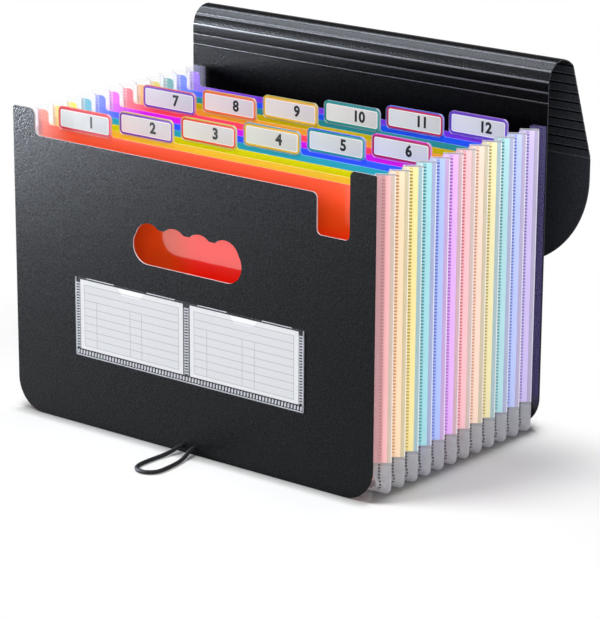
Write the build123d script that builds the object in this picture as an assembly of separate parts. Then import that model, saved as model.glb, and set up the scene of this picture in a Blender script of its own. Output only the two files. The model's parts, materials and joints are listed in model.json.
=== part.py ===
from build123d import *
import math
import os

# An accordion file folder: black covers, a pleated gusset, coloured dividers with tabs, and a creased flap.
# It stands open on its covers' bottom edges, with its flap folded back over the rear cover.
# X runs along the covers, Y from front to back and Z up, from the middle of the back cover's bottom edge.
# Lengths are millimetres and angles are degrees.
os.makedirs("parts", exist_ok=True)

# The folder as a whole
folder_width = 330.0
inner_depth = 200.0
pocket_count = 13
ear_top = 230.5
cover_thickness = 1.0
corner_radius = 24.0
cut_overrun = 2.0
edge_arc_share = 0.96

# Front cover: two ears, a deep finger notch beside the right ear and a grip hole
front_edge = 211.0
ear_width = 21.5
ear_tip_radius = 2.0
ear_shoulder_radius = 5.0
ear_root_radius = 5.0
notch_width = 28.0
notch_depth = 29.0
notch_radius = 4.0
grip_width = 100.0
grip_height = 27.0
grip_middle = 146.5
finger_count = 4
finger_pitch = 23.3
finger_radius = 13.0
finger_rise = 3.5
finger_blend = 3.0

# Gusset: one thin pleated sheet that goes down one side, under the pockets and up the other
gusset_thickness = 0.5
gusset_top = 227.5
gusset_inset = 0.5
gusset_corner_radius = 12.5
pleat_depth = 11.0
flange_width = 12.0
weld_gap = 0.2
ridge_lag_share = 0.375

# Dividers: coloured sheets welded to the front wall of each pleat
divider_thickness = 0.5
divider_edge = 215.5
divider_ear_top = 226.0
divider_left_ear = 9.3
divider_right_ear = 3.5
divider_tip_radius = 1.5
divider_ear_radius = 3.0
divider_root_radius = 2.5

# Tabs: a label in a clear sleeve, stepped across the folder in two runs
tabs_per_run = 6
tab_left_gap = 11.7
tab_right_gap = 4.0
label_width = 49.5
label_height = 15.6
label_bottom = 215.2
label_thickness = 0.3
label_radius = 3.0
sleeve_margin = 0.8
sleeve_film = 0.3
label_clearance = 0.1
tab_root_radius = 2.0

# Card holder: a clear welded double pocket on the front cover, with two index cards
holder_width = 211.0
holder_height = 59.5
holder_bottom = 52.8
holder_radius = 1.0
holder_film = 0.25
card_width = 97.6
card_height = 52.3
card_thickness = 0.3
card_seam = 6.5
card_bottom_seam = 5.5
card_clearance = 0.1
card_side_clearance = 0.3
thumb_width = 27.0
thumb_floor = 17.5
thumb_depth = 6.5

# Elastic loop through two holes near the front cover's bottom edge, and the clip that holds its ends
cord_diameter = 3.0
cord_hole_clearance = 0.2
cord_hole_height = 4.5
cord_spread = 5.5
arc_share = 0.45
clip_width = 17.0
clip_depth = 2.2
clip_height = 3.4
clip_radius = 0.8
clip_window_margin = 0.6

# Flap: the back cover's own sheet, creased into strips and ending in a rounded tongue
flap_foot = 244.0
strip_pitch = 7.8
crease_half = 0.9
crease_gap = 0.3
groove_depth = 0.38
panel_strip_count = 10
tongue_length = 90.5
tongue_radius = 74.3
open_bend_angles = (0, 0, 21, 31, 27, 28, 16, 37, 20)

# Button that the loop hooks over, riveted through the tongue
button_from_end = 24.0
button_head = 14.0
button_head_height = 2.2
button_neck = 7.0
button_neck_height = 2.8
button_edge_chamfer = 0.7
rivet_shank = 3.6
rivet_clearance = 0.1
rivet_head = 9.0
rivet_head_height = 0.9
rivet_head_chamfer = 0.45
rivet_bore_depth = 3.0

# The loop's route: across the folder, forward of the cover's front face, and up, for each point
loop_route = (
    (-5.5, -4.0, 4.5),
    (-6.1, -10.2, 2.7),
    (-7.2, -18.0, 1.7),
    (-7.9, -26.5, 1.6),
    (-8.1, -35.0, 1.6),
    (-7.7, -43.0, 1.6),
    (-5.3, -49.6, 1.6),
    (0.7, -53.0, 1.6),
    (7.6, -51.8, 1.6),
    (12.1, -46.5, 1.6),
    (12.4, -38.8, 1.6),
    (11.7, -29.0, 1.6),
    (10.3, -19.5, 1.7),
    (8.0, -11.0, 2.7),
    (5.5, -4.0, 4.5),
)

# Places along the depth of the folder, worked out from the sizes above
back_face = -cover_thickness / 2
front_inner = back_face - inner_depth
front_face = front_inner - cover_thickness
half_width = folder_width / 2
pocket_pitch = inner_depth / pocket_count
ridge_lag = ridge_lag_share * pocket_pitch
wall_run = pocket_pitch / 2
sheet_shift = gusset_thickness * math.hypot(pleat_depth, wall_run) / wall_run
weld_depth = pleat_depth * (ridge_lag + divider_thickness / 2) / wall_run
divider_inset = gusset_inset + weld_depth + sheet_shift + weld_gap
gusset_half_width = half_width - gusset_inset
divider_side = half_width - divider_inset
divider_ear_inside = divider_side - divider_left_ear
tab_first = tab_left_gap - divider_ear_inside
tab_room = 2 * divider_ear_inside - tab_left_gap - tab_right_gap - label_width
tab_step = tab_room / (tabs_per_run - 1)
sleeve_thickness = 2 * sleeve_film + label_thickness + 2 * label_clearance
holder_slot = card_thickness + 2 * card_clearance
holder_thickness = 2 * holder_film + holder_slot
panel_length = panel_strip_count * strip_pitch


def divider_place(number):
    """The depth of a divider's middle plane; number 1 is behind the front cover."""
    return front_inner + number * pocket_pitch


def rounded_outline(corners):
    """A face from corners of (across, up, radius); the two arcs on an edge share its length."""
    points = [(across, up) for across, up, radius in corners]
    radii = []
    for place, (across, up, radius) in enumerate(corners):
        fitted = radius
        for beside in (place - 1, (place + 1) % len(corners)):
            if radius > 0:
                share = radius / (radius + corners[beside][2])
                fitted = min(fitted, edge_arc_share * share * math.dist(points[place], points[beside]))
        radii.append(fitted)
    return make_face(FilletPolyline(*points, radius=radii, close=True))


def sheet(outline, rear, thickness):
    """An upright sheet with this outline, whose rear face is at this depth."""
    return extrude(Plane.XZ.offset(-rear) * outline, amount=thickness)


def save(shape, name):
    """Writes one piece under its own name."""
    shape.label = name
    export_step(shape, f"parts/{name}.step")


def front_cover():
    """The front sheet with its ears, finger notch, grip hole and the loop's two holes."""
    ear_inside = half_width - ear_width
    notch_left = ear_inside - notch_width
    notch_floor = front_edge - notch_depth
    outline = rounded_outline((
        (-half_width, 0, corner_radius),
        (-half_width, ear_top, ear_tip_radius),
        (-ear_inside, ear_top, ear_shoulder_radius),
        (-ear_inside, front_edge, ear_root_radius),
        (notch_left, front_edge, notch_radius),
        (notch_left, notch_floor, notch_radius),
        (ear_inside, notch_floor, notch_radius),
        (ear_inside, ear_top, notch_radius),
        (half_width, ear_top, ear_tip_radius),
        (half_width, 0, corner_radius),
    ))
    grip = Pos(0, grip_middle) * SlotOverall(grip_width, grip_height)
    finger_top = grip_middle + grip_height / 2 + finger_rise
    for finger in range(finger_count):
        across = (finger - (finger_count - 1) / 2) * finger_pitch
        grip += Pos(across, finger_top - finger_radius) * Circle(finger_radius)
    slot_top = grip_middle + grip_height / 2
    between = [v for v in grip.vertices() if abs(v.Y - slot_top) < finger_rise / 2]
    grip = fillet(between, finger_blend)
    cord_hole = Circle(cord_diameter / 2 + cord_hole_clearance)
    holes = [Pos(side * cord_spread, cord_hole_height) * cord_hole for side in (-1, 1)]
    return sheet(outline - grip - holes, front_inner, cover_thickness)


def gusset():
    """The pleated sheet: a zigzag between the covers, carried down, under and up again."""
    front_fold = front_inner + weld_gap
    ridges = [divider_place(number) + ridge_lag for number in range(1, pocket_count)]
    folds = [(0, front_fold)]
    for ridge in ridges:
        folds += [(pleat_depth, ridge - wall_run), (0, ridge)]
    folds += [(pleat_depth, (ridges[-1] + back_face) / 2), (0, back_face)]
    inner_folds = [(depth + sheet_shift, place) for depth, place in reversed(folds)]
    section = make_face(Polyline(*folds, *inner_folds, close=True))
    flange = Rectangle(flange_width, gusset_thickness, align=(Align.MIN, Align.MIN))
    section += Pos(0, front_fold) * flange
    section += Pos(0, back_face - gusset_thickness) * flange
    path = Plane.XZ * FilletPolyline(
        (-gusset_half_width, gusset_top),
        (-gusset_half_width, gusset_inset),
        (gusset_half_width, gusset_inset),
        (gusset_half_width, gusset_top),
        radius=gusset_corner_radius,
    )
    body = sweep(Pos(-gusset_half_width, 0, gusset_top) * section, path=path)
    window = Box(
        clip_width + 2 * clip_window_margin,
        clip_depth + clip_window_margin,
        clip_height + 2 * clip_window_margin,
        align=(Align.CENTER, Align.MIN, Align.CENTER),
    )
    return body - Pos(0, front_inner, cord_hole_height) * window


def divider(number):
    """A coloured sheet with a wide left ear, a narrow right one and a tab for its label."""
    tab_left = tab_place(number) - sleeve_margin
    tab_right = tab_left + label_width + 2 * sleeve_margin
    tab_top = label_bottom + label_height + sleeve_margin
    foot_radius = gusset_corner_radius + gusset_inset - divider_inset
    right_ear_inside = divider_side - divider_right_ear
    tab_radius = label_radius + sleeve_margin
    outline = rounded_outline((
        (-divider_side, divider_inset, foot_radius),
        (-divider_side, divider_ear_top, divider_tip_radius),
        (-divider_ear_inside, divider_ear_top, divider_ear_radius),
        (-divider_ear_inside, divider_edge, divider_root_radius),
        (tab_left, divider_edge, tab_root_radius),
        (tab_left, tab_top, tab_radius),
        (tab_right, tab_top, tab_radius),
        (tab_right, divider_edge, tab_root_radius),
        (right_ear_inside, divider_edge, divider_root_radius),
        (right_ear_inside, divider_ear_top, divider_ear_radius),
        (divider_side, divider_ear_top, divider_tip_radius),
        (divider_side, divider_inset, foot_radius),
    ))
    return sheet(outline, divider_place(number) + divider_thickness / 2, divider_thickness)


def tab_place(number):
    """Where a tab's label starts across the folder."""
    return tab_first + (number - 1) % tabs_per_run * tab_step


def label_outline(number, margin):
    """A label's rounded outline, grown by a margin."""
    middle = tab_place(number) + label_width / 2
    outline = RectangleRounded(label_width + 2 * margin, label_height + 2 * margin, label_radius + margin)
    return Pos(middle, label_bottom + label_height / 2) * outline


def tab_sleeve(number):
    """The clear sleeve on a divider's tab, open at the top for its label."""
    rear = divider_place(number) - divider_thickness / 2
    outer = sheet(label_outline(number, sleeve_margin), rear, sleeve_thickness)
    slot_rear = rear - sleeve_film
    slot_depth = sleeve_thickness - 2 * sleeve_film
    slot = sheet(label_outline(number, label_clearance), slot_rear, slot_depth)
    mouth = Pos(tab_place(number) + label_width / 2, label_bottom + label_height) * Rectangle(
        label_width - 2 * label_radius, label_height, align=(Align.CENTER, Align.CENTER))
    return outer - slot - sheet(mouth, slot_rear, slot_depth)


def tab_label(number):
    """The card label inside its sleeve."""
    rear = divider_place(number) - divider_thickness / 2 - sleeve_film - label_clearance
    return sheet(label_outline(number, 0), rear, label_thickness)


def card_middle(side):
    """The middle of a card across the folder: side is -1 for the left card, 1 for the right."""
    return side * (card_width + card_seam) / 2


def card_holder():
    """The clear double pocket, with a thumb notch in the front film of each pocket."""
    middle = holder_bottom + holder_height / 2
    holder_top = holder_bottom + holder_height
    outer = RectangleRounded(holder_width, holder_height, holder_radius)
    body = sheet(Pos(0, middle) * outer, front_face, holder_thickness)
    slot = Rectangle(card_width + 2 * card_side_clearance, holder_height, align=(Align.CENTER, Align.MIN))
    thumb = Pos(0, holder_top) * make_face(Polyline(
        (-thumb_width / 2, cut_overrun),
        (-thumb_width / 2, 0),
        (-thumb_floor / 2, -thumb_depth),
        (thumb_floor / 2, -thumb_depth),
        (thumb_width / 2, 0),
        (thumb_width / 2, cut_overrun),
        close=True,
    ))
    for side in (-1, 1):
        pocket = Pos(card_middle(side), holder_bottom + card_bottom_seam) * slot
        body -= sheet(pocket, front_face - holder_film, holder_slot)
        notch = Pos(card_middle(side), 0) * thumb
        body -= sheet(notch, front_face - holder_film, holder_film + holder_slot)
    return body


def index_card(side):
    """A paper card that slides up out of its pocket."""
    card = Rectangle(card_width, card_height, align=(Align.CENTER, Align.MIN))
    bottom = holder_bottom + card_bottom_seam + card_clearance
    rear = front_face - holder_film - card_clearance
    return sheet(Pos(card_middle(side), bottom) * card, rear, card_thickness)


def elastic_loop():
    """A round elastic cord: out of one hole, round on the floor and back into the other."""
    points = [Vector(-cord_spread, front_inner, cord_hole_height)]
    points += [Vector(across, front_face + forward, up) for across, forward, up in loop_route]
    points += [Vector(cord_spread, front_inner, cord_hole_height)]
    radii = []
    for before, here, after in zip(points, points[1:], points[2:]):
        turn = math.radians((here - before).get_angle(after - here))
        shorter = min((here - before).length, (after - here).length)
        radii.append(arc_share * shorter / math.tan(turn / 2))
    path = FilletPolyline(*points, radius=radii)
    ring = Plane(path @ 0, z_dir=path % 0) * Circle(cord_diameter / 2)
    cord = sweep(ring, path=path)
    print("loop radii", [round(radius, 1) for radius in radii])
    print("loop length", round(path.length, 1), "volume", round(cord.volume, 1),
          "section times length", round(ring.area * path.length, 1))
    return cord


def loop_clip():
    """The metal clip behind the front cover that holds both ends of the loop."""
    body = Box(clip_width, clip_depth, clip_height, align=(Align.CENTER, Align.MIN, Align.CENTER))
    body = fillet(body.edges().filter_by(Axis.Y), clip_radius)
    return Pos(0, front_inner, cord_hole_height) * body


def crease_section(length, grooves, ends_in_crease):
    """Half the side view of a creased sheet, from its first crease on: (along, half thickness) points.

    It tapers to the middle of the sheet at a crease, where it bends, and each groove is a shallow V.
    """
    half = cover_thickness / 2
    points = [(crease_gap / 2, 0), (crease_half, half)]
    for groove in range(1, grooves + 1):
        along = groove * strip_pitch
        points += [(along - crease_half, half), (along, half - groove_depth), (along + crease_half, half)]
    if ends_in_crease:
        return points + [(length - crease_half, half), (length - crease_gap / 2, 0)]
    return points + [(length, half)]


def creased_sheet(points):
    """A sheet as wide as the folder, whose side view is these points mirrored about its middle."""
    outer = [(thickness, along) for along, thickness in points]
    inner = [(-thickness, along) for along, thickness in reversed(points) if thickness > 0]
    section = make_face(Polyline(*outer, *inner, close=True))
    return extrude(Plane.YZ * section, amount=half_width, both=True)


def flap_strip():
    """One strip between two creases, standing on its first crease."""
    return creased_sheet(crease_section(strip_pitch, 0, True))


def flap_panel():
    """The grooved panel between the roll's last crease and the tongue's."""
    return creased_sheet(crease_section(panel_length, panel_strip_count - 1, True))


def flap_tongue():
    """The flat tongue below the last crease, with rounded corners and the rivet's hole."""
    body = creased_sheet(crease_section(tongue_length, 0, False))
    outline = rounded_outline((
        (-half_width, 0, 0),
        (-half_width, tongue_length, tongue_radius),
        (half_width, tongue_length, tongue_radius),
        (half_width, 0, 0),
    ))
    hole = Pos(0, tongue_length - button_from_end) * Circle(rivet_shank / 2 + rivet_clearance)
    return body & sheet(outline - hole, cover_thickness, 2 * cover_thickness)


def back_cover():
    """The rear sheet, rounded at its bottom corners, up to the flap's first crease."""
    outline = rounded_outline((
        (-half_width, 0, corner_radius),
        (-half_width, flap_foot, 0),
        (half_width, flap_foot, 0),
        (half_width, 0, corner_radius),
    ))
    half = cover_thickness / 2
    body = creased_sheet([(0, half), (flap_foot - crease_half, half), (flap_foot - crease_gap / 2, 0)])
    return body & sheet(outline, cover_thickness, 2 * cover_thickness)


def flap_button():
    """The round button on the tongue's outer face: a neck under a wider head, bored for its rivet."""
    bore = rivet_shank / 2 + rivet_clearance
    top = button_neck_height + button_head_height
    head = Pos(0, 0, button_neck_height) * Cylinder(
        button_head / 2, button_head_height, align=(Align.CENTER, Align.CENTER, Align.MIN))
    head = chamfer(head.edges().group_by(Axis.Z)[-1], button_edge_chamfer)
    neck = Cylinder(button_neck / 2, top, align=(Align.CENTER, Align.CENTER, Align.MIN))
    hole = Cylinder(bore, rivet_bore_depth, align=(Align.CENTER, Align.CENTER, Align.MIN))
    return Pos(0, cover_thickness / 2, 0) * Rot(-90, 0, 0) * (head + neck - hole)


def button_rivet():
    """The rivet: a low head on the tongue's inner face and a shank up into the button."""
    reach = cover_thickness + rivet_bore_depth - rivet_clearance
    head = Cylinder(rivet_head / 2, rivet_head_height, align=(Align.CENTER, Align.CENTER, Align.MAX))
    head = chamfer(head.edges().group_by(Axis.Z)[0], rivet_head_chamfer)
    shank = Cylinder(rivet_shank / 2, reach, align=(Align.CENTER, Align.CENTER, Align.MIN))
    return Pos(0, -cover_thickness / 2, 0) * Rot(-90, 0, 0) * (head + shank)


def crease_places():
    """The creases of the open flap that bend: (depth, height, lean back) of the piece on each one."""
    lengths = [strip_pitch] * (len(open_bend_angles) - 2) + [panel_length, tongue_length]
    places = []
    depth, height, lean = 0, flap_foot, 0
    for bend, length in zip(open_bend_angles, lengths):
        lean += bend
        places.append((depth, height, lean))
        depth += length * math.sin(math.radians(lean))
        height += length * math.cos(math.radians(lean))
    return places


def leaning(place):
    """The position of a piece that stands on a crease and leans back with its strip."""
    depth, height, lean = place
    return Pos(0, depth, height) * Rot(-lean, 0, 0)


save(front_cover(), "front_cover")
save(back_cover(), "back_cover")
save(gusset(), "pleated_gusset")
for number in range(1, pocket_count):
    save(divider(number), f"divider_{number:02d}")
    save(tab_sleeve(number), f"tab_sleeve_{number:02d}")
    save(tab_label(number), f"tab_label_{number:02d}")
save(card_holder(), "card_holder")
save(index_card(-1), "index_card_left")
save(index_card(1), "index_card_right")
save(elastic_loop(), "elastic_loop")
save(loop_clip(), "loop_clip")
*strip_places, panel_place, tongue_place = crease_places()
for number, place in enumerate(strip_places, 1):
    save(leaning(place) * flap_strip(), f"flap_strip_{number}")
save(leaning(panel_place) * flap_panel(), "flap_panel")
save(leaning(tongue_place) * flap_tongue(), "flap_tongue")
button_place = leaning(tongue_place) * Pos(0, 0, tongue_length - button_from_end)
save(button_place * flap_button(), "flap_button")
save(button_place * button_rivet(), "button_rivet")
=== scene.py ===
import json
import math

import bpy
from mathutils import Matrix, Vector


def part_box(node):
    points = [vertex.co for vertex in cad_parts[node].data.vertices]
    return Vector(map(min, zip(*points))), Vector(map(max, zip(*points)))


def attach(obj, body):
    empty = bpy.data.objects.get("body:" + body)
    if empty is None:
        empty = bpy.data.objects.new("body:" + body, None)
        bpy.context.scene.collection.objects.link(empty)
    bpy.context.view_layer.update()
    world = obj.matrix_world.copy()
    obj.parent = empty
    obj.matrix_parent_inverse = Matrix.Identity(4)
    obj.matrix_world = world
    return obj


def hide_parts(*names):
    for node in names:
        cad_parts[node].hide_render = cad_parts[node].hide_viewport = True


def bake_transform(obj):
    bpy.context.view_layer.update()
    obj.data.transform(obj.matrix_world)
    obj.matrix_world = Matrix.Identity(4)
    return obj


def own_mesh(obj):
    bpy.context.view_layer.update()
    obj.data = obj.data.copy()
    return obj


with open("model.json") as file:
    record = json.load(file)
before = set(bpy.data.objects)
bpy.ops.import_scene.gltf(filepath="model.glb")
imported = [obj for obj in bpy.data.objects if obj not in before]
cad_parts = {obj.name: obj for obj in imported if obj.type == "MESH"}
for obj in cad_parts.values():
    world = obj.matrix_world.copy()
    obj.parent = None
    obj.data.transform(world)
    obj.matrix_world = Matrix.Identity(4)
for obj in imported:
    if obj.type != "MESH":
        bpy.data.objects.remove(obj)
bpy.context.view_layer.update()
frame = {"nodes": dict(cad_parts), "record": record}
nodes = frame["nodes"]
bpy.ops.object.select_all(action="DESELECT")


# Back cover and flap
# One stiff polypropylene sheet, black all through, with a fine sand grain rolled into both faces.
# Above the pockets it is pressed with creases, so that its upper end rolls over as a flap.

class Wire:
    """One output of a finish, which plain arithmetic turns into Math nodes."""

    def __init__(self, finish, socket):
        self.finish = finish
        self.socket = socket

    def maths(self, operation, first, second):
        return self.finish.node("ShaderNodeMath", {0: first, 1: second}, operation=operation)

    def __add__(self, other):
        return self.maths("ADD", self, other)

    def __sub__(self, other):
        return self.maths("SUBTRACT", self, other)

    def __rsub__(self, other):
        return self.maths("SUBTRACT", other, self)

    def __mul__(self, other):
        return self.maths("MULTIPLY", self, other)

    def __truediv__(self, other):
        return self.maths("DIVIDE", self, other)

    def __mod__(self, other):
        return self.maths("FLOORED_MODULO", self, other)

    def __pow__(self, other):
        return self.maths("POWER", self, other)

    def __abs__(self):
        return self.maths("ABSOLUTE", self, 0.0)

    def above(self, other):
        """The larger of the two."""
        return self.maths("MAXIMUM", self, other)

    def below(self, other):
        """The smaller of the two."""
        return self.maths("MINIMUM", self, other)

    def rise(self, low, high):
        """0 up to the low value, 1 from the high one, and smooth between them."""
        return self.finish.node(
            "ShaderNodeMapRange",
            {"Value": self, "From Min": low, "From Max": high},
            interpolation_type="SMOOTHSTEP",
        )

    def within(self, low, high, soft):
        """1 between the two values, with soft ends."""
        return self.rise(low - soft, low + soft) * (1.0 - self.rise(high - soft, high + soft))

    __radd__ = __add__
    __rmul__ = __mul__


class Finish:
    """A material that is put together node by node."""

    def __init__(self, name):
        self.material = bpy.data.materials.new(name)
        self.material.use_nodes = True
        self.tree = self.material.node_tree
        self.tree.nodes.clear()

    def node(self, kind, inputs=None, out=0, stops=None, **settings):
        """Adds a node, with its settings first and then its inputs, and gives one of its outputs."""
        node = self.tree.nodes.new(kind)
        for setting, value in settings.items():
            setattr(node, setting, value)
        if stops:
            ramp = node.color_ramp
            ramp.interpolation = "CONSTANT"
            while len(ramp.elements) < len(stops):
                ramp.elements.new(1.0)
            for element, (place, colour) in zip(ramp.elements, stops):
                element.position = place
                element.color = (*colour, 1.0)
        for socket, value in (inputs or {}).items():
            if isinstance(value, Wire):
                self.tree.links.new(value.socket, node.inputs[socket])
            elif isinstance(value, tuple) and len(node.inputs[socket].default_value) == 4:
                node.inputs[socket].default_value = (*value, 1.0)
            else:
                node.inputs[socket].default_value = value
        return Wire(self, node.outputs[out]) if node.outputs else None

    def place(self, centre=(0.0, 0.0, 0.0)):
        """Across, depth and height on the piece, measured from a centre."""
        spot = self.node("ShaderNodeTexCoord", out="Object")
        spot = self.node("ShaderNodeMapping", {"Vector": spot, "Location": tuple(-c for c in centre)})
        self.spot = spot
        return [self.node("ShaderNodeSeparateXYZ", {"Vector": spot}, out=axis) for axis in "XYZ"]

    def facing(self, axis):
        """How much the surface faces along one of the piece's own axes, either way."""
        normal = self.node("ShaderNodeTexCoord", out="Normal")
        return abs(self.node("ShaderNodeSeparateXYZ", {"Vector": normal}, out=axis))

    def grain(self, scale):
        """Fine random grain over the piece."""
        inputs = {"Vector": self.spot, "Scale": scale, "Detail": 2.0, "Roughness": 0.6}
        return self.node("ShaderNodeTexNoise", inputs)

    def mix(self, amount, first, second):
        """The first colour, going over to the second by an amount."""
        return self.node("ShaderNodeMix", {0: amount, 6: first, 7: second}, out=2, data_type="RGBA")

    def bump(self, height, depth, strength=1.0):
        """A surface that rises by depth where the height is 1."""
        return self.node("ShaderNodeBump", {"Height": height, "Distance": depth, "Strength": strength})

    def surface(self, shine=None, **sockets):
        """Ends the finish in a plastic, paper or metal surface; shine is colour let through and its share."""
        inputs = {socket.replace("_", " "): value for socket, value in sockets.items()}
        shader = self.node("ShaderNodeBsdfPrincipled", inputs)
        if shine:
            colour, share = shine
            through = self.node("ShaderNodeBsdfTranslucent", {"Color": colour})
            shader = self.node("ShaderNodeMixShader", {0: share, 1: shader, 2: through})
        self.node("ShaderNodeOutputMaterial", {"Surface": shader})
        return self.material


def tint(red, green, blue):
    """A colour as it is read off a screen, from 0 to 255, in the light's own scale."""
    levels = [level / 255 for level in (red, green, blue)]
    return tuple(c / 12.92 if c < 0.04045 else ((c + 0.055) / 1.055) ** 2.4 for c in levels)


def dress(piece, material):
    """Gives a piece its one material."""
    piece.data.materials.clear()
    piece.data.materials.append(material)


sand_scale = 850.0
sand_depth = 0.00016
cloud_scale = 9.0
crease_shade_shares = (0.1, 0.17)
crease_highlight_shares = (0.84, 0.9)


def side_edges(finish, across, height):
    """The sheet's cut ends, left and right, where a painted highlight goes."""
    return finish.facing("X").rise(0.45, 0.75)


def black_sheet(name, dark, light, edge_highlight_of, edge_highlight_colour, gloss=0.1, creased=None):
    """Black sheet with a sand grain between two shades, and cut edges with a painted highlight.

    A creased sheet runs from one crease to another in a number of strips; each swells between its creases,
    starts in painted shade and ends in a painted highlight line.
    """
    finish = Finish(name)
    across, depth, height = finish.place()
    sand = finish.grain(sand_scale)
    cloud = finish.grain(cloud_scale)
    face = finish.mix(sand.rise(0.3, 0.75), dark, light)
    face = finish.mix(cloud.rise(0.3, 0.8) * 0.3, face, light)
    relief = sand * sand_depth
    if creased:
        start, end, strips, swell, crease_highlight_colour = creased
        way = end - start
        along = ((depth - start.y) * way.y + (height - start.z) * way.z) / way.length_squared
        step = (along * float(strips)) % 1.0
        # Along each crease: a painted highlight line at the strip's end and painted shade at its start.
        face = finish.mix(step.rise(*crease_highlight_shares), face, crease_highlight_colour)
        face = finish.mix(1.0 - step.rise(*crease_shade_shares), face, tint(1, 1, 1))
        relief = relief + step * (1.0 - step) * (4.0 * swell)
    # The cut edges get a painted highlight.
    return finish.surface(
        Base_Color=finish.mix(edge_highlight_of(finish, across, height), face, edge_highlight_colour),
        Roughness=0.2 + sand * 0.14,
        Specular_IOR_Level=gloss,
        Normal=finish.bump(relief, 1.0),
    )


creases = [joint for joint in frame["record"]["behaviour"]["joints"] if joint["name"].startswith("flap_")]
crease_places = [Vector(joint["pos_m"]) for joint in creases]
# From the cover on: how far each strip swells, its gloss and the colour of the painted highlight along its crease
strip_finishes = (
    (0.00003, 0.012, tint(58, 59, 63)),
    (0.0001, 0.012, tint(84, 85, 90)),
    (0.0003, 0.05, tint(120, 122, 129)),
    (0.0003, 0.09, tint(150, 152, 160)),
    (0.0003, 0.09, tint(150, 152, 160)),
    (0.0003, 0.09, tint(150, 152, 160)),
    (0.0003, 0.09, tint(100, 102, 108)),
)
panel_strip_count = 10
panel_swell = 0.00015
# Colour of the painted highlight along the panel's creases
panel_crease_highlight_colour = tint(78, 80, 86)
cover_gloss = 0.015
flap_gloss = 0.06
# Each set: two shades of the grain, where the painted edge highlight goes and its colour.
cover_shades = (tint(2, 2, 3), tint(6, 6, 7), side_edges, tint(60, 62, 68))
# The flap's panel and tongue are painted much lighter than the rest of the same sheet: painted light.
flap_painted_light_shades = (tint(50, 52, 57), tint(58, 60, 66), side_edges, tint(70, 72, 78))
dress(nodes["back_cover"], black_sheet("black_cover_sheet", *cover_shades, gloss=cover_gloss))
for number, (swell, gloss, crease_highlight_colour) in enumerate(strip_finishes, 1):
    ends = (*crease_places[number - 1 : number + 1], 1, swell, crease_highlight_colour)
    strip_black = black_sheet(f"black_strip_{number}", *cover_shades, gloss=gloss, creased=ends)
    dress(nodes[f"flap_strip_{number}"], strip_black)
ends = (*crease_places[-2:], panel_strip_count, panel_swell, panel_crease_highlight_colour)
dress(nodes["flap_panel"], black_sheet("black_panel_sheet_painted_light", *flap_painted_light_shades, gloss=flap_gloss, creased=ends))
dress(nodes["flap_tongue"], black_sheet("black_tongue_sheet_painted_light", *flap_painted_light_shades, gloss=flap_gloss))


# Crease webs
# The same sheet, pressed thin along each crease so that it bends there: a living hinge.
# Each web joins the two strips beside it.

web_half_width = 0.0005
web_sheet = 0.00022
web_steps = (-1.0, -0.5, 0.0, 0.5, 1.0)
# The webs are painted much lighter than the sheet: a painted highlight along each crease.
web_highlight_shades = (tint(60, 61, 66), tint(112, 114, 122), side_edges, tint(110, 112, 118))


def move_by(across, depth, height):
    """The settings of an extrusion's move."""
    return {"value": (across, depth, height)}


def drawn_line(name, corners):
    """Draws a line from corner to corner and leaves it selected in edit mode."""
    bpy.ops.mesh.primitive_plane_add(size=0.01)
    piece = bpy.context.object
    piece.name = name
    bpy.ops.object.mode_set(mode="EDIT")
    bpy.ops.mesh.select_all(action="SELECT")
    bpy.ops.mesh.merge(type="CENTER")
    bpy.ops.transform.translate(value=corners[0])
    for here, there in zip(corners, corners[1:]):
        step = move_by(*(after - before for before, after in zip(here, there)))
        bpy.ops.mesh.extrude_vertices_move(TRANSFORM_OT_translate=step)
    bpy.ops.mesh.select_all(action="SELECT")
    return piece


def thicken(piece, thickness):
    """Turns the drawn surface outwards and gives it the sheet's thickness."""
    bpy.ops.mesh.select_all(action="SELECT")
    bpy.ops.mesh.normals_make_consistent(inside=False)
    bpy.ops.object.mode_set(mode="OBJECT")
    bpy.ops.object.modifier_add(type="SOLIDIFY")
    piece.modifiers[-1].thickness = thickness
    piece.modifiers[-1].offset = 0.0
    bpy.ops.object.modifier_apply(modifier=piece.modifiers[-1].name)


web_black = black_sheet("black_web_sheet_painted_highlight", *web_highlight_shades)
flap_line = [Vector((0, 0, 0))] + crease_places + [Vector((0, crease_places[-1].y, 0))]
flap_left, flap_right = (corner.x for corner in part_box("flap_strip_1"))
for number, joint in enumerate(creases, 1):
    before, here, after = flap_line[number - 1 : number + 2]
    reach = ((here - before).normalized() + (after - here).normalized()).normalized() * web_half_width
    web_start = here + Vector((flap_left, 0, 0))
    web = drawn_line(f"crease_web_{number}", [web_start + reach * step for step in web_steps])
    bpy.ops.mesh.extrude_edges_move(TRANSFORM_OT_translate=move_by(flap_right - flap_left, 0.0, 0.0))
    thicken(web, web_sheet)
    dress(web, web_black)
    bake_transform(web)
    bpy.ops.object.select_all(action="DESELECT")


# Gusset
# One frosted polypropylene sheet folded into pleats, down one side, under the pockets and up the other.
# Each divider's margin is welded inside a pleat's front wall and shows through it as a pastel strip.

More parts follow.
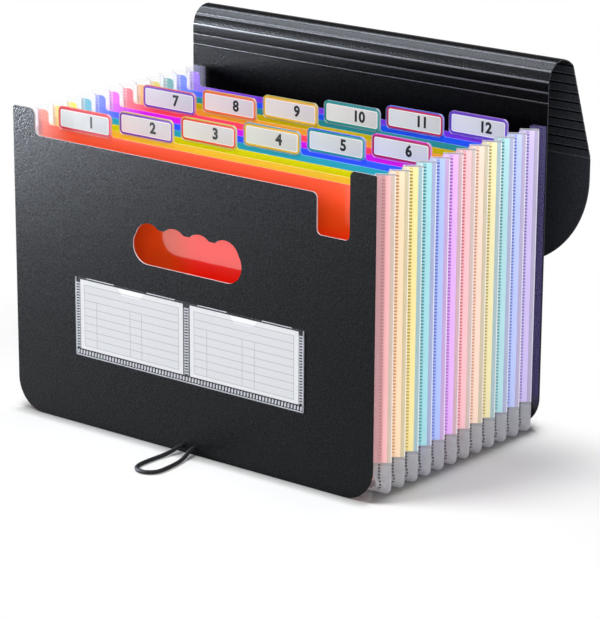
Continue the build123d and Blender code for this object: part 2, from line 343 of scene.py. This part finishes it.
pleat_count = 12
inner_depth = 0.2
pocket_pitch = inner_depth / (pleat_count + 1)
pleat_depth = 0.011
wall_run = pocket_pitch / 2
wall_length = math.hypot(pleat_depth, wall_run)
gusset_half_width = 0.1645
gusset_top = 0.2275
gusset_bottom = 0.0005
gusset_sheet = 0.0005
corner_middle = 0.152
corner_height = 0.013
corner_radius = 0.006
corner_steps = 10
bottom_share = 0.4
flange_width = 0.012
flange_step = 0.4
cover_inside = -0.2005
front_fold = -0.2003
back_fold = -0.0008
first_ridge_pitches = 1.375
first_ridge = cover_inside + first_ridge_pitches * pocket_pitch
ridges = [first_ridge + number * pocket_pitch for number in range(pleat_count)]
strip_bottom = 0.024
strip_top = 0.2262
mark_pitch = 0.00236
band_width = 0.0032
ridge_highlight_width = 0.0003
weld_start = 0.007
weld_end = 0.0093

folds = [(0.0, front_fold)]
for ridge in ridges:
    folds += [(pleat_depth, ridge - wall_run), (0.0, ridge)]
folds += [(pleat_depth, (ridges[-1] + back_fold) / 2), (0.0, back_fold)]


def corner_reach(turned):
    """How far the outer line lies from a corner's middle after a turn, against the line beside the corner."""
    beside = gusset_half_width - corner_middle
    offset = beside - corner_radius
    turned = min(turned, math.pi / 2 - turned)
    if math.tan(turned) <= offset / beside:
        return 1.0 / math.cos(turned)
    towards = offset * (math.cos(turned) + math.sin(turned))
    return (towards + math.sqrt(corner_radius ** 2 - offset ** 2 * (1.0 - math.sin(2 * turned)))) / beside


def turn_corner(across, start, share, last_share):
    """Carries the zigzag round a corner on a small radius, while its depth goes from one share to another."""
    middle = (across, 0.0, corner_height)
    step = math.pi / 2 / corner_steps
    shares = [share + (last_share - share) * number / corner_steps for number in range(corner_steps + 1)]
    for number in range(corner_steps):
        turned = (number + 1) * step
        bpy.ops.mesh.spin(steps=1, angle=step, center=middle, axis=(0, 1, 0))
        pull = corner_reach(turned) / corner_reach(number * step)
        bpy.ops.transform.resize(value=(pull, 1.0, pull), center_override=middle)
        reach = (gusset_half_width - corner_middle) * corner_reach(turned)
        ridge = (across + reach * math.cos(start + turned), 0.0, corner_height + reach * math.sin(start + turned))
        flatter = shares[number + 1] / shares[number]
        bpy.ops.transform.resize(value=(flatter, 1.0, flatter), center_override=ridge)


def pleated_sheet():
    """Draws the zigzag at the top of the left side, then carries it down, round, along, round and up."""
    zigzag = [(flange_width, front_fold)] + folds + [(flange_width, back_fold)]
    corners = [(depth - gusset_half_width, place, gusset_top) for depth, place in zigzag]
    piece = drawn_line("pleated_sheet", corners)
    side = gusset_top - corner_height
    bpy.ops.mesh.extrude_edges_move(TRANSFORM_OT_translate=move_by(0.0, 0.0, -side))
    turn_corner(-corner_middle, math.pi, 1.0, bottom_share)
    bpy.ops.mesh.extrude_edges_move(TRANSFORM_OT_translate=move_by(2 * corner_middle, 0.0, 0.0))
    turn_corner(corner_middle, 1.5 * math.pi, bottom_share, 1.0)
    bpy.ops.mesh.extrude_edges_move(TRANSFORM_OT_translate=move_by(0.0, 0.0, side))
    return piece


def depth_from_side(across, height):
    """How far a point is inside the gusset's outer line."""
    if abs(across) < corner_middle:
        return height - gusset_bottom
    if height > corner_height:
        return gusset_half_width - abs(across)
    return gusset_half_width - corner_middle - math.hypot(abs(across) - corner_middle, height - corner_height)


def number_folds(piece):
    """Writes each corner's place among the folds in the UV map: ridges are even and valleys odd."""
    layer = piece.data.uv_layers.new(name="folds")
    for loop in piece.data.loops:
        across, depth, height = piece.data.vertices[loop.vertex_index].co
        number = min(range(len(folds)), key=lambda fold: abs(folds[fold][1] - depth))
        if depth_from_side(across, height) > pleat_depth + gusset_sheet:
            number += -flange_step if number == 0 else flange_step
        layer.data[loop.index].uv = (number / len(folds), height)


def frosted_sheet():
    """Frosted clear sheet with the dividers' margins and their weld marks showing through it, with painted
    highlights, painted shade and a painted glow.
    """
    margin_colours = (
        tint(254, 194, 195), tint(253, 229, 196), tint(251, 237, 170), tint(176, 230, 234),
        tint(188, 207, 253), tint(240, 193, 252), tint(254, 208, 211), tint(254, 231, 213),
        tint(248, 240, 192), tint(190, 232, 235), tint(202, 214, 253), tint(222, 207, 246),
    )
    mark_colours = (
        tint(176, 62, 66), tint(160, 122, 66), tint(142, 128, 24), tint(32, 102, 106),
        tint(48, 68, 152), tint(124, 46, 140), tint(172, 68, 80), tint(168, 122, 84),
        tint(138, 128, 38), tint(34, 104, 106), tint(38, 60, 146), tint(74, 46, 122),
    )
    last_fold = 2.0 * pleat_count
    finish = Finish("frosted_gusset_sheet")
    across, depth, height = finish.place()
    spread = finish.node("ShaderNodeUVMap", uv_map="folds")
    fold = finish.node("ShaderNodeSeparateXYZ", {"Vector": spread}, out="X") * float(len(folds))
    stops = [(number / pleat_count, colour) for number, colour in enumerate(margin_colours)]
    marks = [(number / pleat_count, colour) for number, colour in enumerate(mark_colours)]
    colour = finish.node("ShaderNodeValToRGB", {"Fac": fold / last_fold}, stops=stops)
    next_colour = finish.node("ShaderNodeValToRGB", {"Fac": (fold + 2.0) / last_fold}, stops=stops)
    mark_colour = finish.node("ShaderNodeValToRGB", {"Fac": fold / last_fold}, stops=marks)
    turn = (fold / 2.0) % 1.0
    from_ridge = (1.0 - turn) * (2.0 * wall_length)
    in_pleat = fold.within(-0.005, last_fold, 0.005)
    front_wall = turn.rise(0.5, 0.505) * in_pleat
    upright = height.within(strip_bottom, strip_top, 0.0003)
    past_band = from_ridge.rise(band_width, band_width + 0.0002)
    margin = past_band * upright * front_wall
    band = (1.0 - past_band) * upright * front_wall
    # A thin line along each ridge is painted near white: a painted highlight.
    lip = 1.0 - from_ridge.rise(ridge_highlight_width, ridge_highlight_width + 0.0004)

    # Weld marks: coloured dashes along the strip and dark dots below it
    row = abs((height / mark_pitch) % 1.0 - 0.5)
    down = 1.0 - height / gusset_top
    weld = from_ridge.within(weld_start, weld_end, 0.0001) * front_wall
    on_strip = height.within(strip_bottom + 0.001, strip_top - 0.001, 0.0002)
    below_strip = height.within(0.0045, strip_bottom - 0.001, 0.0002)
    dash = weld * (1.0 - row.rise(0.2, 0.26)) * on_strip
    dot = weld * from_ridge.rise(weld_start + 0.0004, weld_start + 0.0006)
    dot = dot * (1.0 - row.rise(0.24, 0.3)) * below_strip

    # Colour, from the bare sheet to what shows through it, with painted highlights and painted shade
    frost = finish.grain(240.0)
    clear = finish.mix(frost, tint(158, 158, 162), tint(182, 182, 186))
    shade = finish.mix(lip, finish.mix(0.5, next_colour, tint(146, 142, 150)), tint(250, 248, 250))
    base = finish.mix(band, clear, shade)
    base = finish.mix(margin, base, colour)
    rich = {0: weld * margin * 0.35, 6: base, 7: colour}
    base = finish.node("ShaderNodeMix", rich, out=2, data_type="RGBA", blend_type="MULTIPLY")
    # At the top of the left end the front walls are painted pale grey and their dashes white: a painted glancing
    # sheen that washes the colour out.
    left_end = (1.0 - across.rise(-0.001, 0.001)) * height.rise(0.211, 0.216)
    left_top = left_end * front_wall
    base = finish.mix(left_top * 0.8, base, tint(194, 192, 190))
    base = finish.mix(dash * (1.0 - down * 0.4), base, finish.mix(left_top, mark_colour, tint(250, 250, 250)))
    base = finish.mix(dot, base, tint(20, 20, 24))
    # The top edges facing up are painted near white: a painted highlight.
    top = finish.facing("Z").rise(0.6, 0.9) * height.rise(0.2, 0.21)
    base = finish.mix(top, base, tint(250, 250, 252))
    # Below the strips the walls other than the front walls are painted dark grey: painted shade in the valleys at
    # the foot.
    foot = (1.0 - height.rise(strip_bottom - 0.003, strip_bottom - 0.001)) * in_pleat * fold.rise(1.0, 1.1)
    base = finish.mix(foot * (1.0 - front_wall), base, tint(118, 118, 122))
    # The first pleat's strip is painted darker and greyer towards the front cover: the cover's painted shadow.
    base = finish.mix((1.0 - fold.rise(1.4, 1.65)) * margin * 0.6, base, tint(176, 140, 146))
    last_film = fold.rise(last_fold, last_fold + 0.1) * height.rise(0.012, 0.03)
    base = finish.mix(last_film, base, tint(136, 126, 190))

    # How much light the sheet holds back
    hold = front_wall * 0.52 + margin * 0.4 + band * 0.25 + dot * 0.4 + (top * 0.3 + 0.014) * in_pleat + 0.008
    back_wall = in_pleat * (1.0 - front_wall) * (1.0 - left_end)
    hold = hold + left_top * 0.25 + foot * 0.25 + last_film * 0.06 + back_wall * 0.18
    first_foot = (1.0 - height.rise(0.01, 0.03)) * (1.0 - fold.rise(1.0, 1.2))
    left_foot = (1.0 - across.rise(-0.165, -0.145)) * (1.0 - height.rise(0.015, 0.035))
    hold = hold * (1.0 - first_foot * 0.85) * (1.0 - left_foot * 0.8)
    # The sheet glows with its own colour: a painted glow.
    return finish.surface(
        shine=(tint(225, 224, 232), hold.below(1.0) * 0.25),
        Base_Color=base,
        Roughness=0.38 + frost * 0.12,
        Alpha=hold.below(0.97),
        Emission_Color=base,
        Emission_Strength=0.3,
    )


gusset = pleated_sheet()
thicken(gusset, gusset_sheet)
number_folds(gusset)
dress(gusset, frosted_sheet())
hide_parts("pleated_gusset")
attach(gusset, "back")
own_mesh(gusset)
bpy.ops.object.select_all(action="DESELECT")


# Dividers
# Thin coloured polypropylene sheets, cut with an ear at each end and a tab for the label.
# Light goes through them. Their cut edges carry a painted highlight and their left ends painted light, lower down
# they are painted deeper as shade, and they have a painted glow.

divider_colours = (
    ("red", tint(250, 100, 62)),
    ("amber", tint(228, 208, 62)),
    ("yellow", tint(212, 212, 8)),
    ("teal", tint(36, 172, 208)),
    ("blue", tint(62, 100, 250)),
    ("magenta", tint(228, 34, 222)),
    ("rose", tint(240, 80, 102)),
    ("orange", tint(224, 174, 56)),
    ("yellow", tint(196, 184, 14)),
    ("green", tint(38, 150, 166)),
    ("blue", tint(40, 94, 238)),
    ("purple", tint(136, 66, 216)),
)
notch_levels = (0.19, 0.2135)
grip_levels = (0.165, 0.19)
grip_light_ends = (-0.035, 0.0)
painted_left_light_ends = (-0.152, -0.118)
weld_ends = (0.1514, 0.1518)
ear_levels = (0.2165, 0.2185)
ear_ends = (-0.142, -0.138)


def divider_sheet(name, colour):
    """Coloured sheet that the light shines through, with painted shade lower down, painted highlights on its
    edges, painted light at its left end, a painted glow, and welded ends.
    """
    # Painted shade: from the notch down and around the grip the colour is painted deeper and darker, duller still
    # at the grip's left where the front cover's shadow falls.
    pale = tuple(0.45 * c + 0.55 for c in colour)
    lower = tuple(0.75 * (c - 0.8 * min(colour)) for c in colour)
    dim = tuple(0.95 * c for c in lower)
    deep = tuple(c ** 2.2 for c in colour)
    finish = Finish(name)
    across, depth, height = finish.place()
    sand = finish.grain(900.0)
    low_down = 1.0 - height.rise(*grip_levels)
    face = finish.mix(1.0 - height.rise(*notch_levels), colour, lower)
    face = finish.mix(low_down, face, finish.mix(across.rise(*grip_light_ends), dim, deep))
    # The left end is painted paler: painted light coming in from the left.
    face = finish.mix((1.0 - across.rise(*painted_left_light_ends)) * 0.4, face, pale)
    weld = abs(across).rise(*weld_ends)
    row = abs((height / mark_pitch) % 1.0 - 0.5).rise(0.2, 0.26)
    face = finish.mix(weld * (0.45 + row * 0.4), face, tint(226, 222, 226))
    # The cut edges are painted pale: a painted highlight.
    edge = 1.0 - finish.facing("Y").rise(0.3, 0.6)
    ear = height.rise(*ear_levels) * (1.0 - across.rise(*ear_ends))
    # The sheet glows with its own colour, more low down and in the ear: a painted glow.
    return finish.surface(
        shine=(colour, 0.3),
        Base_Color=finish.mix(edge * 0.85, face, pale),
        Roughness=0.12 + sand * 0.1,
        IOR=1.6,
        Coat_Weight=low_down,
        Coat_IOR=2.2,
        Emission_Color=finish.mix(0.29 + low_down * 0.16 + ear * 0.2, (0.0, 0.0, 0.0), face),
        Emission_Strength=1.0,
    )


for number, (hue, colour) in enumerate(divider_colours, 1):
    piece = nodes[f"divider_{number:02d}"]
    dress(piece, divider_sheet(f"{hue}_divider_{number:02d}", colour))


# Tab labels
# Card labels with a coloured printed border and a plain number, each in a clear sleeve on its divider's tab.
# The sleeve is welded film, open at the top so that the label slides in.

border_colours = (
    tint(226, 52, 78), tint(122, 74, 200), tint(236, 84, 62), tint(240, 190, 50), tint(30, 160, 168),
    tint(196, 32, 96), tint(128, 80, 200), tint(240, 120, 60), tint(238, 196, 60), tint(34, 158, 160),
    tint(204, 38, 88), tint(112, 72, 200),
)
label_width = 0.0495
label_height = 0.0156
label_radius = 0.003
border_width = 0.0014
inner_line_width = 0.0005
line_blur = 0.0001
number_size = 0.011
number_offset = 0.0065
number_weight = 0.00045
print_gap = 0.00004
ink_thickness = 0.00002


def label_card(number, colour, centre):
    """White card with a coloured border just inside its rounded edge."""
    finish = Finish(f"label_card_{number:02d}")
    across, depth, height = finish.place(centre)
    over_x = (abs(across) - (label_width / 2 - label_radius)).above(0.0)
    over_z = (abs(height) - (label_height / 2 - label_radius)).above(0.0)
    inside = label_radius - (over_x ** 2.0 + over_z ** 2.0) ** 0.5
    line_start = border_width + line_blur
    border = 1.0 - inside.rise(border_width - line_blur, line_start)
    line = inside.within(line_start, line_start + inner_line_width, line_blur)
    # The paper is painted darker towards the right: painted shade.
    paper = finish.mix(across.rise(-0.02, 0.025), tint(198, 200, 202), tint(180, 182, 186))
    paper = finish.mix(line, paper, tint(220, 218, 218))
    fibre = finish.grain(700.0)
    # The paper, but not its border, has a painted glow.
    return finish.surface(
        Base_Color=finish.mix(border, paper, colour),
        Roughness=0.5 + fibre * 0.15,
        Specular_IOR_Level=0.05,
        Emission_Color=finish.mix(border, paper, (0.0, 0.0, 0.0)),
        Emission_Strength=0.45,
    )


def clear_film(name):
    """Clear film that only its shine and its edges, painted pale as a highlight, show."""
    finish = Finish(name)
    finish.place()
    haze = finish.grain(60.0)
    # The edges are painted pale and less clear: a painted highlight.
    edge = 1.0 - finish.facing("Y").rise(0.3, 0.6)
    return finish.surface(
        Base_Color=finish.mix(edge, tint(70, 72, 78), tint(246, 244, 248)),
        Roughness=0.12 + haze * 0.08,
        Alpha=0.04 + edge * 0.45,
    )


def printed_ink():
    """Black printing ink, not quite even."""
    finish = Finish("printed_ink")
    finish.place()
    fleck = finish.grain(1500.0)
    black = finish.mix(fleck, tint(8, 8, 10), tint(20, 20, 24))
    return finish.surface(Base_Color=black, Roughness=0.6, Specular_IOR_Level=0.1)


sleeve_film = clear_film("clear_sleeve_film")
number_ink = printed_ink()
for number, colour in enumerate(border_colours, 1):
    label = nodes[f"tab_label_{number:02d}"]
    low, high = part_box(label.name)
    dress(label, label_card(number, colour, tuple((low + high) / 2)))
    sleeve = nodes[f"tab_sleeve_{number:02d}"]
    dress(sleeve, sleeve_film)
    print_place = ((low.x + high.x) / 2 + number_offset, low.y - print_gap, (low.z + high.z) / 2)
    bpy.ops.object.text_add(location=print_place, rotation=(math.pi / 2, 0, 0))
    printed = bpy.context.object
    printed.name = f"label_number_{number:02d}"
    printed.data.body = str(number)
    printed.data.size = number_size
    printed.data.align_x = "CENTER"
    printed.data.align_y = "CENTER"
    printed.data.offset = number_weight
    printed.data.extrude = ink_thickness
    printed.data.resolution_u = 4
    bpy.ops.object.convert(target="MESH")
    bpy.ops.object.transform_apply(location=True, rotation=True, scale=True)
    printed = bpy.context.object
    dress(printed, number_ink)
    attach(printed, f"pocket_{number:02d}")
    bpy.ops.object.select_all(action="DESELECT")


# Front cover
# The same black grained sheet as the back, die-cut with two ears, a finger notch and a grip hole.
# Its top edge, notch and grip hole carry a painted highlight line.

cover_side_ends = (0.1635, 0.1642)
cover_foot_levels = (0.02, 0.03)


def die_cut_edges(finish, across, height):
    """The top edge with its notch, and the edge of the grip hole, where the painted highlight goes."""
    edge = 1.0 - finish.facing("Y").rise(0.25, 0.55)
    return edge * (1.0 - abs(across).rise(*cover_side_ends)) * height.rise(*cover_foot_levels)


# The cut edges are painted near white: a painted highlight.
front_shades = (tint(5, 6, 8), tint(11, 12, 14), die_cut_edges, tint(205, 200, 205))
front_gloss = 0.085
dress(nodes["front_cover"], black_sheet("black_front_sheet", *front_shades, gloss=front_gloss))


# Card holder and index cards
# A clear double pocket of two films, welded to the cover along ladder-like seams, with a notch for the thumb.
# It is shown a hair off the cover. In each pocket stands a white card printed with a thin grey table.

seam_middles = (-0.1033, 0.0, 0.1033)
seam_bottom = 0.0585
seam_top = 0.1085
seam_pitch = 0.00207
rung_half_length = 0.0013
rail_inside = 0.0015
rail_outside = 0.0019
bottom_pitch = 0.0028
holder_bottom = 0.0528
holder_top = 0.1123
holder_half_width = 0.1055
film_gap = 0.00004
merge_distance = 0.000001
row_count = 8
column_shares = (0.131, 0.489, 0.611)
frame_left_share = 0.46
frame_width_share = 0.92
frame_top_share = 0.43
frame_height_share = 0.877
rule_share = 0.0035


def to_nearest(spot, places):
    """How far a spot is from the nearest of some places."""
    gap = abs(spot - places[0])
    for place in places[1:]:
        gap = gap.below(abs(spot - place))
    return gap


def holder_film():
    """Clear film with welded ladders down its seams and along its bottom, and painted highlight lines on its
    edges.
    """
    finish = Finish("clear_holder_film")
    across, depth, height = finish.place()
    to_seam = to_nearest(across, seam_middles)
    rung = abs((height / seam_pitch) % 1.0 - 0.5).rise(0.3, 0.36)
    rung = rung * (1.0 - to_seam.rise(rung_half_length, rail_inside))
    rail = to_seam.within(rail_inside, rail_outside, line_blur)
    ladder = rung.above(rail) * height.within(seam_bottom, seam_top, 2 * line_blur)
    up = height - holder_bottom
    bar = abs((across / bottom_pitch) % 1.0 - 0.5).rise(0.32, 0.38)
    bar = bar * up.within(0.0016, 0.0046, line_blur)
    welded = bar.above(up.within(0.0004, 0.0008, line_blur))
    # The side edges and stretches of the top edge are painted as pale lines: painted highlights.
    side = (abs(across) - holder_half_width + 0.0004).rise(0.0, line_blur)
    share = abs(abs(across) / holder_half_width - 0.5)
    top_line = (height - holder_top + 0.0003).rise(0.0, line_blur) * share.within(0.15, 0.4, 0.005)
    mark = ladder.above(welded).above(side * 0.8).above(top_line)
    edge = 1.0 - finish.facing("Y").rise(0.3, 0.6)
    return finish.surface(
        Base_Color=finish.mix(mark, tint(150, 154, 164), tint(206, 208, 216)),
        Roughness=0.16 + mark * 0.2,
        Alpha=(0.06 + mark * 0.72 + edge * 0.1).below(0.85),
    )


def ruled_card(name, centre, width, height_of_card):
    """White card with a printed table: eight rows, of which the lower six have four columns."""
    finish = Finish(name)
    across, depth, height = finish.place(centre)
    along = (across + frame_left_share * width) / (frame_width_share * width)
    down = (frame_top_share * height_of_card - height) / (frame_height_share * height_of_card)
    in_frame = along.within(0.0, 1.0, 0.0005) * down.within(0.0, 1.0, 0.0005)
    to_row = abs((down * float(row_count) + 0.5) % 1.0 - 0.5) / float(row_count)
    row_line = 1.0 - to_row.rise(0.6 * rule_share, 2.2 * rule_share)
    row_line = row_line * along.within(-rule_share, 1.0 + rule_share, 0.001)
    row_line = row_line * down.within(-2 * rule_share, 1.0 + 2 * rule_share, 0.001)
    column_line = 1.0 - to_nearest(along, column_shares).rise(0.4 * rule_share, 1.2 * rule_share)
    column_line = column_line * down.within(2 / row_count, 1.0, 0.001)
    side_line = 1.0 - to_nearest(along, (0.0, 1.0)).rise(0.4 * rule_share, 1.2 * rule_share)
    side_line = side_line * down.within(0.0, 1.0, 0.001)
    ruled = row_line.above(column_line).above(side_line)
    fibre = finish.grain(500.0)
    paper = finish.mix(in_frame * 0.7, tint(226, 226, 228), tint(209, 210, 214))
    paper = finish.mix(fibre * 0.15, paper, tint(255, 255, 255))
    return finish.surface(
        Base_Color=finish.mix(ruled * 0.8, paper, tint(160, 161, 167)),
        Roughness=0.6 + fibre * 0.1,
        Specular_IOR_Level=0.03,
    )


holder = bpy.data.objects.new("holder_pocket", nodes["card_holder"].data.copy())
bpy.context.collection.objects.link(holder)
bpy.context.view_layer.objects.active = holder
holder.select_set(True)
bpy.ops.object.mode_set(mode="EDIT")
bpy.ops.mesh.select_all(action="SELECT")
bpy.ops.mesh.remove_doubles(threshold=merge_distance)
bpy.ops.transform.translate(value=(0.0, -film_gap, 0.0))
bpy.ops.object.mode_set(mode="OBJECT")
dress(holder, holder_film())
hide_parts("card_holder")
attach(holder, "front")
bpy.ops.object.select_all(action="DESELECT")
for side in ("left", "right"):
    card = nodes[f"index_card_{side}"]
    low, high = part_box(card.name)
    dress(card, ruled_card(f"ruled_card_{side}", tuple((low + high) / 2), high.x - low.x, high.z - low.z))


# Elastic loop and its clip
# A round braided elastic cord, out of one hole at the front cover's foot and back in at the other.
# A small steel clip behind the cover holds both ends; the loop hooks over the flap's button.

cord_diameter = 0.003
loop_route = (
    (-0.0055, -0.2005, 0.0045),
    (-0.0055, -0.2055, 0.0045),
    (-0.0061, -0.2117, 0.0027),
    (-0.0072, -0.2195, 0.0017),
    (-0.0079, -0.2280, 0.0016),
    (-0.0081, -0.2365, 0.0016),
    (-0.0077, -0.2445, 0.0016),
    (-0.0053, -0.2511, 0.0016),
    (0.0007, -0.2545, 0.0016),
    (0.0076, -0.2533, 0.0016),
    (0.0121, -0.2480, 0.0016),
    (0.0124, -0.2403, 0.0016),
    (0.0117, -0.2305, 0.0016),
    (0.0103, -0.2210, 0.0017),
    (0.0080, -0.2125, 0.0027),
    (0.0055, -0.2055, 0.0045),
    (0.0055, -0.2005, 0.0045),
)


def elastic_braid():
    """Black braid: fine threads wound over a rubber core."""
    finish = Finish("black_elastic_braid")
    finish.place()
    thread = finish.node("ShaderNodeTexVoronoi", {"Vector": finish.spot, "Scale": 1400.0})
    return finish.surface(
        Base_Color=finish.mix(thread, tint(18, 18, 20), tint(48, 48, 52)),
        Roughness=0.5 + thread * 0.2,
        Specular_IOR_Level=0.08,
        Normal=finish.bump(thread, 0.0002, 0.6),
    )


def clip_steel():
    """Plain nickelled steel."""
    finish = Finish("nickelled_clip")
    finish.place()
    brush = finish.grain(800.0)
    return finish.surface(
        Base_Color=finish.mix(brush, tint(170, 172, 176), tint(205, 206, 210)),
        Metallic=1.0,
        Roughness=0.3 + brush * 0.15,
    )


line = bpy.data.curves.new("elastic_cord", "CURVE")
line.dimensions = "3D"
spline = line.splines.new("NURBS")
spline.points.add(len(loop_route) - 1)
for point, spot in zip(spline.points, loop_route):
    point.co = (*spot, 1.0)
spline.order_u = 3
spline.use_endpoint_u = True
spline.resolution_u = 6
line.bevel_depth = cord_diameter / 2
line.bevel_resolution = 4
elastic = bpy.data.objects.new("elastic_cord", line)
bpy.context.collection.objects.link(elastic)
dress(elastic, elastic_braid())
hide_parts("elastic_loop")
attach(elastic, "front")
dress(nodes["loop_clip"], clip_steel())


# Button and rivet
# A moulded black button on the flap's outer face, for the loop, with a rivet through the tongue into its neck.
# Both are glossy nylon.

def button_nylon():
    """Glossy moulded black, with faint flow marks."""
    finish = Finish("black_button_nylon")
    finish.place()
    flow = finish.grain(120.0)
    return finish.surface(
        Base_Color=finish.mix(flow, tint(18, 18, 20), tint(32, 32, 36)),
        Roughness=0.2 + flow * 0.12,
    )


nylon = button_nylon()
for name in ("flap_button", "button_rivet"):
    dress(nodes[name], nylon)


# Studio
# A white floor that goes on as the background, soft lamps above, in front and at both sides, and a long lens.
# The floor is white to the camera, keeps the folder's soft shadow and has a painted contact shadow at the
# folder's foot.

floor_size = 16.0
floor_height = -0.0002
contact_reach = 0.02
shadow_glow = 0.12


def white_floor():
    """White floor that shows as plain white where no shadow falls, with a painted contact shadow where the folder
    stands on it.
    """
    finish = Finish("white_floor")
    across, depth, height = finish.place()
    speck = finish.grain(3.0)
    # Painted contact shadow: ambient occlusion darkens the floor at the folder's foot, but not in front where the
    # loop lies.
    open_air = finish.node("ShaderNodeAmbientOcclusion", {"Distance": contact_reach}, out="AO", samples=8)
    contact_shadow = (1.0 - open_air.rise(0.45, 0.97)) * depth.rise(-0.216, -0.208)
    white = finish.mix(speck * 0.1, (0.74, 0.74, 0.74), (0.78, 0.78, 0.78))
    matt = finish.node("ShaderNodeBsdfPrincipled", {
        "Base Color": finish.mix(contact_shadow, white, (0.3, 0.3, 0.3)),
        "Roughness": 0.9,
        "Specular IOR Level": 0.1,
    })
    glow = finish.node("ShaderNodeEmission", {"Color": (1.0, 1.0, 1.0), "Strength": 1.0})
    away = depth.rise(-0.07, 0.03).above(abs(across).rise(0.24, 0.4)).above(1.0 - depth.rise(-0.45, -0.3))
    seen = finish.node("ShaderNodeLightPath", out="Is Camera Ray")
    for ray in ("Is Glossy Ray", "Is Transmission Ray"):
        seen = seen.above(finish.node("ShaderNodeLightPath", out=ray))
    plain = seen * (shadow_glow + away * (1.0 - shadow_glow)) * (1.0 - contact_shadow)
    shader = finish.node("ShaderNodeMixShader", {0: plain, 1: matt, 2: glow})
    finish.node("ShaderNodeOutputMaterial", {"Surface": shader})
    return finish.material


bpy.ops.mesh.primitive_plane_add(size=floor_size, location=(0, 0, floor_height))
floor = bpy.context.object
floor.name = "studio_floor"
bpy.ops.object.transform_apply(location=True)
dress(floor, white_floor())

world = bpy.data.worlds.new("studio_air")
bpy.context.scene.world = world
world.use_nodes = True
air = world.node_tree.nodes["Background"]
air.inputs["Color"].default_value = (0.95, 0.97, 1.0, 1.0)
air.inputs["Strength"].default_value = 0.18


def soft_lamp(name, place, aim, size, power):
    """A square soft lamp that points at a spot."""
    bpy.ops.object.light_add(type="AREA", location=place)
    lamp = bpy.context.object
    lamp.name = name
    lamp.data.shape = "SQUARE"
    lamp.data.size = size
    lamp.data.energy = power
    way = [there - here for there, here in zip(aim, place)]
    flat = math.hypot(way[0], way[1])
    lamp.rotation_euler = (math.atan2(flat, -way[2]), 0.0, math.atan2(-way[0], way[1]))
    return lamp


middle_of_folder = (0.0, -0.1, 0.12)
front_left_edge = (-0.16, -0.2, 0.22)
roll_middle = (0.0, 0.0, 0.27)
strips_middle = (0.0, 0.0, 0.26)
soft_lamp("key_lamp", (-0.45, -0.8, 1.75), middle_of_folder, 0.6, 32.0)
soft_lamp("front_lamp", (0.7, -1.9, 1.0), middle_of_folder, 1.2, 12.0)
soft_lamp("right_lamp", (1.8, -0.5, 0.9), middle_of_folder, 1.0, 13.0)
soft_lamp("top_lamp", (0.1, 0.3, 2.2), middle_of_folder, 1.6, 8.0)
left_sheen = soft_lamp("left_sheen", (-1.1, -0.75, 0.25), front_left_edge, 0.4, 178.0)
roll_sheen = soft_lamp("roll_sheen", (-0.85, -0.05, 1.45), roll_middle, 0.8, 30.0)
strip_sheen = soft_lamp("strip_sheen", (-0.87, -0.95, 1.25), strips_middle, 0.6, 10.0)
for sheen in (left_sheen, roll_sheen, strip_sheen):
    sheen.data.color = (0.88, 0.95, 1.06)
    sheen.visible_diffuse = False

bpy.ops.object.camera_add(
    location=(1.27901, -1.68469, 0.69879),
    rotation=(math.radians(73.197), math.radians(-0.3188), math.radians(38.5382)),
)
camera = bpy.context.object
camera.data.lens = 169.4
camera.data.sensor_width = 36.0
bpy.context.scene.camera = camera
bpy.context.scene.view_settings.view_transform = "Standard"
